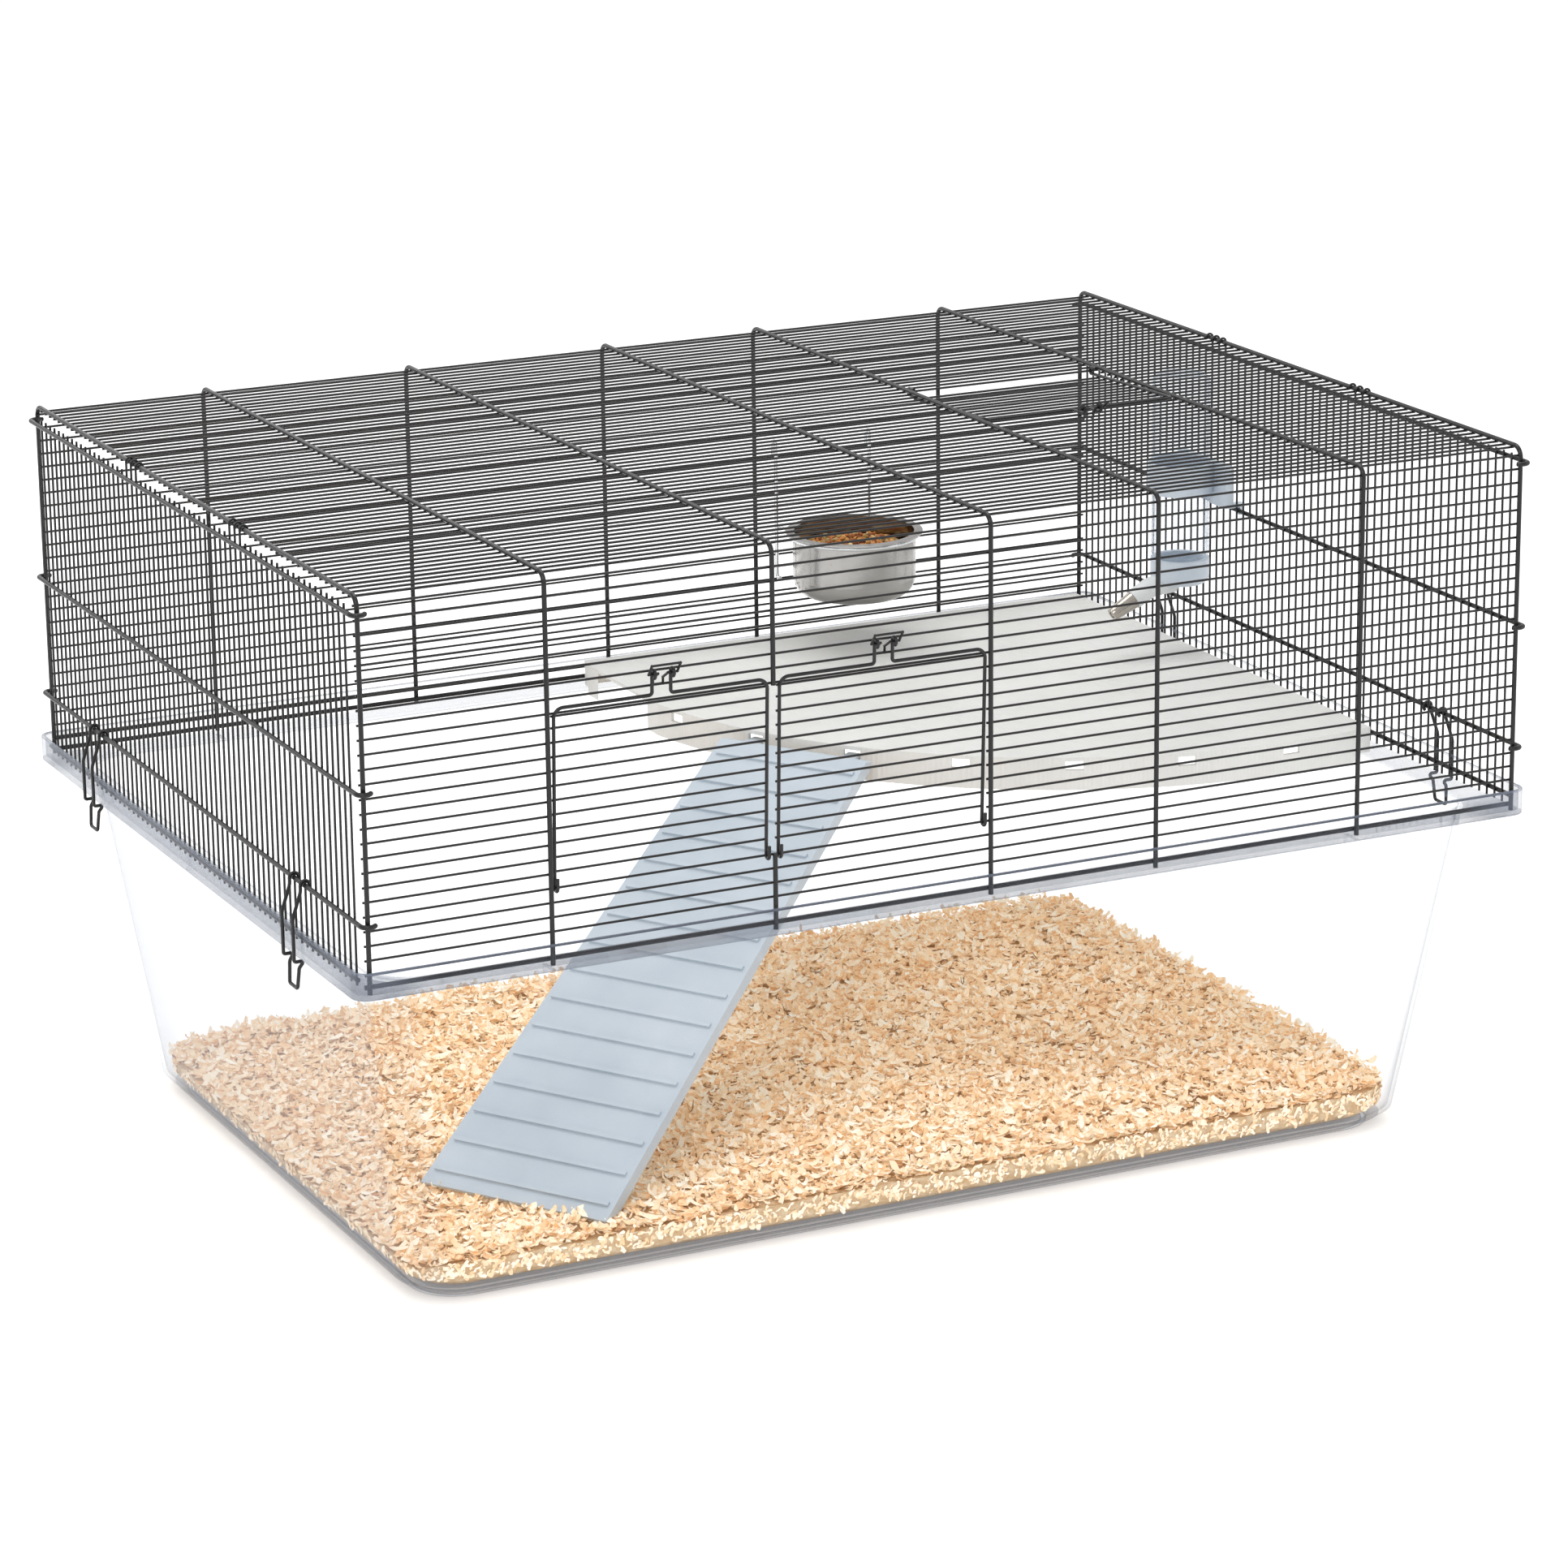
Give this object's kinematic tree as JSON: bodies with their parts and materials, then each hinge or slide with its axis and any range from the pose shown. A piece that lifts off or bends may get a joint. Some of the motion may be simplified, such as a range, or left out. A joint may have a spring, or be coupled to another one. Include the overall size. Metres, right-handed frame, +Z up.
{
  "type": "hamster cage",
  "caption": "Pet cage for a hamster: clear deep tub, black wire top with hinged latching doors, side clips, raised platform, ramp, food bowl and water bottle.",
  "frame": {"origin": "centre of the tub's foot, on the surface that it stands on", "axes": "+X along the cage, towards the bottle end; -Y is the front with the two doors; +Z up"},
  "size_m": [0.808, 0.5808, 0.4674],
  "materials": {
    "black_wire": "glossy black coat on bent and welded wire",
    "tub": "clear polished moulding",
    "bedding": "loose pale wood shavings",
    "platform": "warm light grey moulding with a fine diamond grain",
    "ramp": "light blue-grey satin moulding",
    "bowl_steel": "spun and polished sheet steel",
    "food": "dry mixed food pieces",
    "bright_wire": "bright plated wire",
    "bottle": "clear ribbed plastic",
    "cap": "pale blue-grey plastic",
    "elbow": "pale grey plastic",
    "spout_steel": "drawn steel tube"
  },
  "bodies": {
    "cage": {"tub": "tub", "bedding": "bedding", "front_posts": "black_wire", "roof_bows": "black_wire", "back_posts": "black_wire", "front_wires": "black_wire", "roof_wires": "black_wire", "back_wires": "black_wire", "left_end_bars": "black_wire", "right_end_bars": "black_wire", "left_end_rails": "black_wire", "right_end_rails": "black_wire", "platform": "platform", "bowl_holder": "bright_wire"},
    "left_door": {"left_door_frame": "black_wire", "left_door_bars": "black_wire"},
    "left_latch": {"left_door_latch": "black_wire"},
    "right_door": {"right_door_frame": "black_wire", "right_door_bars": "black_wire"},
    "right_latch": {"right_door_latch": "black_wire"},
    "roof_door": {"roof_door_frame": "black_wire", "roof_door_bars": "black_wire"},
    "roof_latch": {"roof_door_latch": "black_wire"},
    "left_front_clip": {"clip_left_front": "black_wire"},
    "left_rear_clip": {"clip_left_rear": "black_wire"},
    "right_front_clip": {"clip_right_front": "black_wire"},
    "right_rear_clip": {"clip_right_rear": "black_wire"},
    "ramp": {"ramp": "ramp"},
    "bowl": {"food_bowl": "bowl_steel", "food": "food"},
    "bottle": {"bottle_body": "bottle", "bottle_cap": "cap", "bottle_bracket": "cap", "spout_elbow": "elbow", "spout_tube": "spout_steel"},
    "ball": {"spout_ball": "bowl_steel"}
  },
  "joints": [
    {"name": "left_door_hinge", "type": "hinge", "parent": "cage", "child": "left_door", "pos_m": [-0.2025, -0.28105, 0.2682], "axis": [1, 0, 0], "range_deg": [0, 160]},
    {"name": "left_latch_pivot", "type": "hinge", "parent": "left_door", "child": "left_latch", "pos_m": [-0.2025, -0.28628, 0.39039], "axis": [1, 0, 0], "range_deg": [0, 24]},
    {"name": "right_door_hinge", "type": "hinge", "parent": "cage", "child": "right_door", "pos_m": [-0.0575, -0.28105, 0.2682], "axis": [1, 0, 0], "range_deg": [0, 160]},
    {"name": "right_latch_pivot", "type": "hinge", "parent": "right_door", "child": "right_latch", "pos_m": [-0.0575, -0.28628, 0.39039], "axis": [1, 0, 0], "range_deg": [0, 24]},
    {"name": "roof_door_hinge", "type": "hinge", "parent": "cage", "child": "roof_door", "pos_m": [0.2025, 0.0528, 0.45655], "axis": [-1, 0, 0], "range_deg": [0, 165]},
    {"name": "roof_latch_pivot", "type": "hinge", "parent": "roof_door", "child": "roof_latch", "pos_m": [0.2025, -0.06939, 0.46178], "axis": [-1, 0, 0], "range_deg": [0, 24]},
    {"name": "left_front_clip_pivot", "type": "hinge", "parent": "cage", "child": "left_front_clip", "pos_m": [-0.3944, -0.1856, 0.2638], "axis": [0, 1, 0], "range_deg": [0, 120]},
    {"name": "left_rear_clip_pivot", "type": "hinge", "parent": "cage", "child": "left_rear_clip", "pos_m": [-0.3944, 0.1752, 0.2638], "axis": [0, 1, 0], "range_deg": [0, 120]},
    {"name": "right_front_clip_pivot", "type": "hinge", "parent": "cage", "child": "right_front_clip", "pos_m": [0.3944, -0.1856, 0.2638], "axis": [0, -1, 0], "range_deg": [0, 120]},
    {"name": "right_rear_clip_pivot", "type": "hinge", "parent": "cage", "child": "right_rear_clip", "pos_m": [0.3944, 0.1752, 0.2638], "axis": [0, -1, 0], "range_deg": [0, 120]},
    {"name": "ramp_hook", "type": "hinge", "parent": "cage", "child": "ramp", "pos_m": [0.04048, 0.02482, 0.2305], "axis": [-0.5369, 0.8436, 0], "range_deg": [0, 12]},
    {"name": "bowl_lift", "type": "slide", "parent": "cage", "child": "bowl", "axis": [0, 0, 1], "range_m": [0, 0.06]},
    {"name": "bottle_lift", "type": "slide", "parent": "cage", "child": "bottle", "axis": [0, 0, 1], "range_m": [0, 0.01]},
    {"name": "ball_valve", "type": "slide", "parent": "bottle", "child": "ball", "axis": [0.8829, 0, 0.4695], "range_m": [0, 0.0012]}
  ]
}
